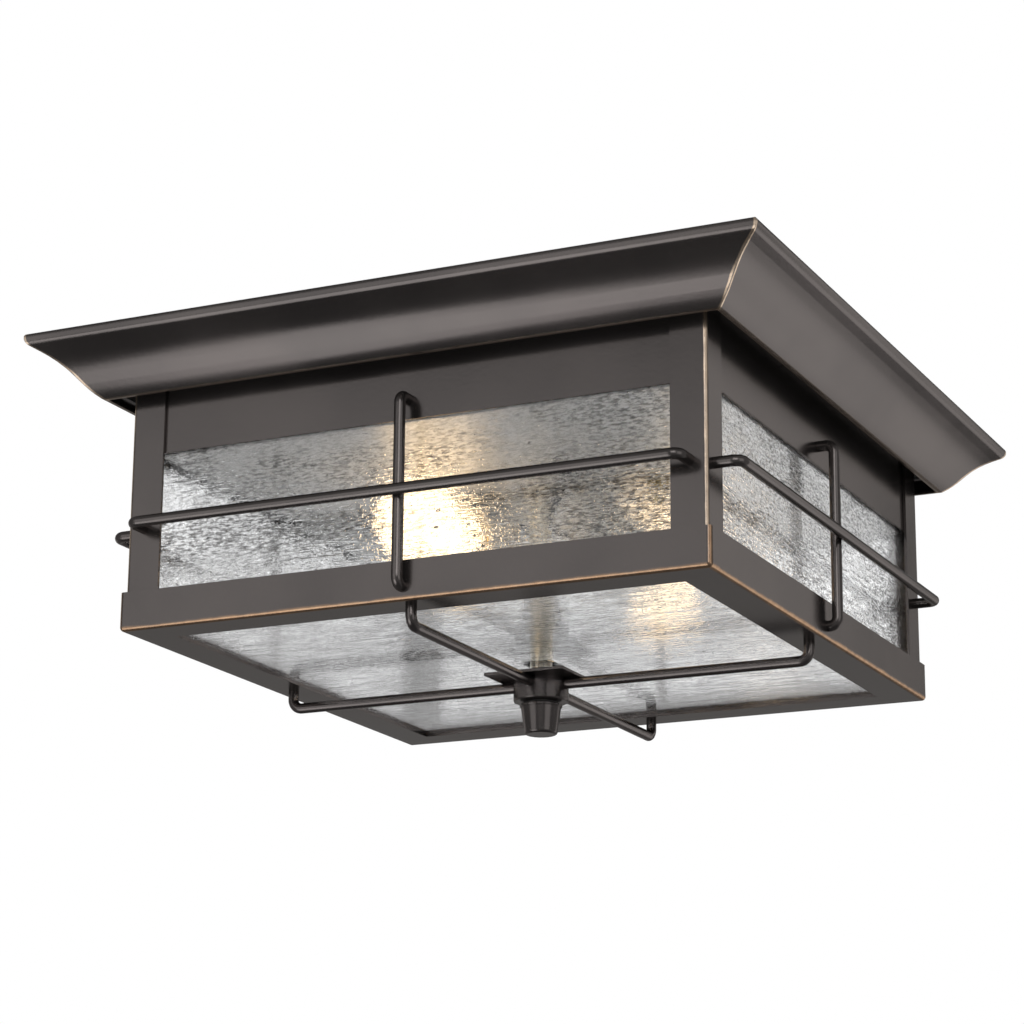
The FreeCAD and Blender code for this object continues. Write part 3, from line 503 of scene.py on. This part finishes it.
# Panes: two rippled faces, ground edges and seeds shut in the glass
class Pane(Shell):
    """A pane of a solid's size. Its directions are along the streaks, across them and through."""

    def __init__(self, node, axes):
        super().__init__(axes)
        low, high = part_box(node)
        self.low = [low[k] for k in axes]
        self.high = [high[k] for k in axes]
        self.seed = sum(map(ord, node))

    def steps(self, axis):
        """Lines of the grid. Its cells are even in number, so that a hole can lie in the middle."""
        first = self.low[axis] + PANE_EDGE
        last = self.high[axis] - PANE_EDGE
        count = 2 * round((last - first) / PANE_STEP / 2)
        inner = [first + (last - first) * k / count for k in range(count + 1)]
        return [self.low[axis]] + inner + [self.high[axis]]

    def sink(self, u, v, side):
        """How far a face lies under the pane's full thickness."""
        lift = PANE_SHIFT * self.seed + FACE_SHIFT * side
        wave = noise.noise(Vector((u / WAVE_LENGTH, v / WAVE_WIDTH, lift)))
        chop = noise.noise(Vector((u / CHOP_LENGTH, v / CHOP_WIDTH, lift + CHOP_SHIFT)))
        return RIPPLE * max(0.0, RIPPLE_MIDDLE + WAVE_SHARE * wave + CHOP_SHARE * chop)

    def level(self, side, depth):
        """Where a point lies that is sunk in the lower face, side 0, or in the upper one, side 1."""
        return self.high[2] - depth if side else self.low[2] + depth

    def grid(self, side):
        us = self.steps(0)
        vs = self.steps(1)
        rows = []
        for i, u in enumerate(us):
            row = []
            for j, v in enumerate(vs):
                on_edge = i in (0, len(us) - 1) or j in (0, len(vs) - 1)
                depth = PANE_EDGE if on_edge else self.sink(u, v, side)
                row.append(self.point(u, v, self.level(side, depth)))
            rows.append(row)
        return rows

    def skin(self, rows, side, gap):
        for i in range(len(rows) - 1):
            for j in range(len(rows[0]) - 1):
                if i in gap[0] and j in gap[1]:
                    continue
                corners = [rows[i][j], rows[i + 1][j], rows[i + 1][j + 1], rows[i][j + 1]]
                self.face(corners if side else corners[::-1], True)

    def rim(self, rows):
        """The points round the outside of a grid, in order."""
        ring = [row[0] for row in rows] + rows[-1][1:]
        return ring + [row[-1] for row in rows[-2::-1]] + rows[0][-2:0:-1]

    def hole(self, rows, side, gap, radius):
        """Shut the square gap down to a round hole, and give the hole's ring."""
        patch = [row[gap[1].start:gap[1].stop + 1] for row in rows[gap[0].start:gap[0].stop + 1]]
        square = self.rim(patch)
        ring = []
        for index in square:
            u, v = [self.points[index][k] for k in self.axes[:2]]
            scale = radius / math.hypot(u, v)
            ring.append(self.point(u * scale, v * scale, self.level(side, PANE_EDGE)))
        self.wall(square if side else ring, ring if side else square, True)
        return ring

    def seeds(self, clear):
        rng = random.Random(self.seed)
        spans = [high - low for low, high in zip(self.low, self.high)]
        for _ in range(round(spans[0] * spans[1] / SEED_SPACING ** 2)):
            size = SEED_SMALLEST + (SEED_LARGEST - SEED_SMALLEST) * rng.random() ** SEED_SKEW
            shares = [rng.uniform(*limits) for limits in (SEED_SPREAD, SEED_SPREAD, SEED_DEPTH)]
            middle = [low + span * share for low, span, share in zip(self.low, spans, shares)]
            radii = (size * rng.uniform(*SEED_DRAWN), size, size * SEED_FLAT)
            if math.hypot(*middle[:2]) > clear:
                self.bubble(middle, radii)

    def bubble(self, middle, radii):
        points, faces = UNIT_BALL
        first = len(self.points)
        for unit in points:
            self.point(*[at + radius * along for at, radius, along in zip(middle, radii, unit)])
        for corners in faces:
            self.face([first + k for k in reversed(corners)], True)

    def build(self, hole_radius=0.0):
        sides = (self.grid(0), self.grid(1))
        gap = (range(0), range(0))
        if hole_radius:
            counts = (len(sides[0]) - 1, len(sides[0][0]) - 1)
            starts = [(count - HOLE_CELLS) // 2 for count in counts]
            gap = [range(start, start + HOLE_CELLS) for start in starts]
        for side, rows in enumerate(sides):
            self.skin(rows, side, gap)
        self.wall(self.rim(sides[0]), self.rim(sides[1]))
        if hole_radius:
            rings = [self.hole(rows, side, gap, hole_radius) for side, rows in enumerate(sides)]
            self.wall(rings[1], rings[0])
        self.seeds(HOLE_CLEAR * hole_radius)
        return self


def make_panes(materials):
    for side in ("right", "back", "left", "front"):
        axes = ALONG_X if side in ("right", "left") else ALONG_Y_MIRRORED
        node = "side_glass_" + side
        pane = Pane(node, axes).build()
        pane.place("pane_" + side, materials["glass_upright"], "cage", "seeded_glass", node)
    pane = Pane("bottom_glass", ALONG_Z).build(PANE_HOLE)
    pane.place("pane_bottom", materials["glass_flat"], "cage", "seeded_glass", "bottom_glass")


# Turned pieces: screw threads and the grips of the wire connectors
def turned(shell, middle, levels, radius_at, sides, bore=0.0):
    """Surface round the shell's third direction, shut at both ends or bored through."""
    turns = [2 * math.pi * k / sides for k in range(sides)]

    def spot(level, turn, radius):
        first = middle[0] + radius * math.cos(turn)
        second = middle[1] + radius * math.sin(turn)
        return shell.point(first, second, level)

    rings = [[spot(level, turn, radius_at(level, turn)) for turn in turns] for level in levels]
    for under, over in zip(rings, rings[1:]):
        shell.wall(under, over, True)
    if bore:
        inner = [[spot(level, turn, bore) for turn in turns] for level in (levels[0], levels[-1])]
        shell.wall(inner[1], inner[0], True)
        shell.wall(inner[0], rings[0])
        shell.wall(rings[-1], inner[1])
    else:
        shell.face(rings[0][::-1])
        shell.face(rings[-1])


def evenly(low, high, step):
    count = math.ceil((high - low) / step)
    return [low + (high - low) * k / count for k in range(count + 1)]


def swell(angle):
    """A smooth fall from 1 to 0 and rise back to 1, once in a full turn."""
    return 0.5 + 0.5 * math.cos(angle)


def make_nipple(materials):
    low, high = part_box("centre_nipple")

    def radius_at(level, turn):
        share = (level / PIPE_PITCH - turn / (2 * math.pi)) % 1.0
        return high.x - PIPE_DEPTH * abs(2 * share - 1)

    tube = Shell()
    turned(tube, (0.0, 0.0), evenly(low.z, high.z, PIPE_STEP), radius_at, PIPE_SIDES, PIPE_BORE)
    # The tube's material has its colour raised as painted lamplight
    tube.place("threaded_tube", materials["tube_painted_lamplight"], "canopy", "zinc_steel", "centre_nipple")


def make_lamp_base(materials, letter):
    bulb = "bulb_" + letter
    node = bulb + "_base"
    low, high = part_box(node)
    crest = (high.x - low.x) / 2
    ends = (low.y + LAMP_PITCH, high.y - LAMP_PITCH)

    def radius_at(level, turn):
        past_end = max(ends[0] - level, level - ends[1], 0.0)
        height = LAMP_DEPTH * max(0.0, 1.0 - past_end / LAMP_RUN_OUT)
        return crest - LAMP_DEPTH + height * swell(2 * math.pi * level / LAMP_PITCH - turn)

    base = Shell(ALONG_Y)
    middle = ((low.z + high.z) / 2, (low.x + high.x) / 2)
    levels = evenly(low.y, high.y, LAMP_STEP)
    turned(base, middle, levels, radius_at, LAMP_SIDES, crest - LAMP_BORE)
    base.place("rolled_base_" + letter, materials["bulb_base"], bulb, "bulb_base", node)


def make_connectors(materials):
    low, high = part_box("wire_connectors")
    mouth = high.x
    middle = ((low.z + high.z) / 2, 0.0)
    caps = Shell(ALONG_Y)
    for end in (low.y, high.y):
        tip = end * (1 - CONNECTOR_LENGTH / abs(end))

        def radius_at(along, turn):
            share = (along - end) / (tip - end)
            fade = math.sin(math.pi * min(1.0, share * CONNECTOR_GRIP_FADE))
            grip = CONNECTOR_GRIP * fade * swell(CONNECTOR_RIBS * turn)
            past_start = max(0.0, (share - CONNECTOR_ROUND_START) / (1 - CONNECTOR_ROUND_START))
            return mouth + (CONNECTOR_TIP - mouth) * share - grip - CONNECTOR_ROUND * past_start ** 2

        levels = evenly(min(end, tip), max(end, tip), CONNECTOR_STEP)
        turned(caps, middle, levels, radius_at, CONNECTOR_SIDES)
    plastic = materials["connector_plastic"]
    caps.place("ribbed_connectors", plastic, "canopy", "connector_plastic", "wire_connectors")


# Studio: camera, backdrop, soft boxes and floor
def make_camera():
    data = bpy.data.cameras.new("camera")
    data.lens = CAMERA_LENS
    data.sensor_width = CAMERA_SENSOR
    camera = bpy.data.objects.new("camera", data)
    turn = Matrix((CAMERA_RIGHT, CAMERA_UP, CAMERA_BACK)).transposed().to_4x4()
    camera.matrix_world = Matrix.Translation(CAMERA_AT) @ turn
    scene.collection.objects.link(camera)
    scene.camera = camera


def make_world():
    """White to the camera and through glass, and a light that is brightest behind the object."""
    world = bpy.data.worlds.new("studio")
    world.use_nodes = True
    scene.world = world
    t = Tree(world.node_tree)
    split = t.node("SeparateXYZ", {"Vector": t.node("TexCoord", {}).outputs["Generated"]})
    around = t.ranged(split.outputs["Y"], STUDIO_TURN, (STUDIO_FRONT, STUDIO_BACK))
    below = t.ranged(split.outputs["Z"], STUDIO_FALL, (STUDIO_BELOW, 1.0))
    level = t.math("MULTIPLY", around, below)
    path = t.node("LightPath", {})
    white = {"Is Transmission Ray": STUDIO_THROUGH_GLASS, "Is Camera Ray": STUDIO_TO_CAMERA}
    for flag, brightness in white.items():
        level = t.node("Mix", {0: path.outputs[flag], 2: level, 3: brightness}).outputs[0]
    backdrop = t.tree.nodes["Background"]
    t.put(backdrop.inputs["Strength"], level)
    t.put(backdrop.inputs["Color"], BACKDROP)


def softbox(name, at, size, power, aim=SOFT_BOX_AIM):
    data = bpy.data.lights.new(name, "AREA")
    data.shape = "RECTANGLE"
    data.size, data.size_y = size
    data.energy = power
    lamp = bpy.data.objects.new(name, data)
    lamp.location = at
    lamp.rotation_euler = (Vector(aim) - Vector(at)).to_track_quat("-Z", "Y").to_euler()
    lamp.visible_camera = False
    lamp.visible_transmission = False
    scene.collection.objects.link(lamp)


def make_lights():
    for name, (at, size, power) in SOFT_BOXES.items():
        softbox(name, at, size, power)
    softbox("floor_light", FLOOR_LIGHT_AT, FLOOR_LIGHT_SIZE, FLOOR_LIGHT_POWER, FLOOR_MIDDLE)


def make_floor(materials):
    mesh = bpy.data.meshes.new("floor")
    half = FLOOR_SIZE / 2
    corners = [(-half, -half), (half, -half), (half, half), (-half, half)]
    mesh.from_pydata([(x, y, FLOOR_LEVEL) for x, y in corners], [], [(0, 1, 2, 3)])
    floor = bpy.data.objects.new("floor", mesh)
    scene.collection.objects.link(floor)
    floor.visible_glossy = False
    floor.visible_diffuse = False
    coat(floor, materials["floor_paint"])


materials = make_materials()
make_camera()
make_world()
make_lights()
make_floor(materials)
scene.view_settings.view_transform = "Standard"
coat_nodes(materials)
make_panes(materials)
make_nipple(materials)
for letter in "ab":
    make_lamp_base(materials, letter)
make_connectors(materials)
